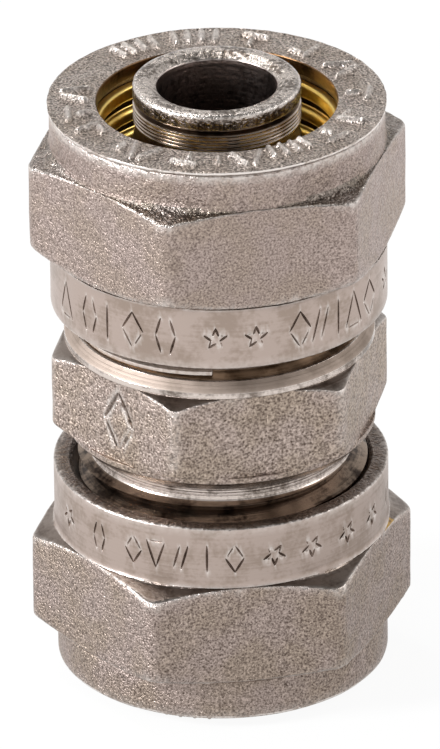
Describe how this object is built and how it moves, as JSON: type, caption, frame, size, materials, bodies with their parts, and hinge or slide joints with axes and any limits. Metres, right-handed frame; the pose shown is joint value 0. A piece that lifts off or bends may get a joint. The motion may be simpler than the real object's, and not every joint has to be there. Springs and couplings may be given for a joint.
{
  "type": "pex coupling",
  "caption": "Straight compression coupling for 16 x 2 mm multilayer pipe: a hexagonal body with a sealed spigot at each end, and a union nut and split ring on each thread.",
  "frame": {"origin": "centre of the waterway, in the middle of the body's hexagon", "axes": "+Z along the waterway towards the upper nut; two flats of the body's hexagon face +Y and -Y"},
  "size_m": [0.0274, 0.0252, 0.0454],
  "materials": {
    "body_nickel": "nickel-plated, forged hexagon sand-blasted, turned ends bright",
    "nut_nickel": "nickel-plated, sand-blasted",
    "split_ring_brass": "bare turned brass",
    "seal_rubber": "moulded EPDM",
    "washer_plastic": "moulded, white"
  },
  "bodies": {
    "body": {"body": "body_nickel", "top_outer_o_ring": "seal_rubber", "top_inner_o_ring": "seal_rubber", "top_washer": "washer_plastic", "bottom_outer_o_ring": "seal_rubber", "bottom_inner_o_ring": "seal_rubber", "bottom_washer": "washer_plastic"},
    "top_split_ring": {"top_split_ring": "split_ring_brass"},
    "top_nut": {"top_nut": "nut_nickel"},
    "bottom_split_ring": {"bottom_split_ring": "split_ring_brass"},
    "bottom_nut": {"bottom_nut": "nut_nickel"}
  },
  "joints": [
    {"name": "top_ring_slide", "type": "slide", "parent": "body", "child": "top_split_ring", "axis": [0, 0, 1], "range_m": [-0.00157, 0.00432]},
    {"name": "top_nut_turn", "type": "hinge", "parent": "top_split_ring", "child": "top_nut", "pos_m": [0, 0, 0], "axis": [0, 0, 1], "range_deg": [-311, 858]},
    {"name": "bottom_ring_slide", "type": "slide", "parent": "body", "child": "bottom_split_ring", "axis": [0, 0, -1], "range_m": [-0.00229, 0.0036]},
    {"name": "bottom_nut_turn", "type": "hinge", "parent": "bottom_split_ring", "child": "bottom_nut", "pos_m": [0, 0, 0], "axis": [0, 0, -1], "range_deg": [-454, 715]}
  ],
  "couplings": [
    {"joint": "top_ring_slide", "follows": "top_nut_turn", "m_per_rad": 0.00028871},
    {"joint": "bottom_ring_slide", "follows": "bottom_nut_turn", "m_per_rad": 0.00028871}
  ]
}
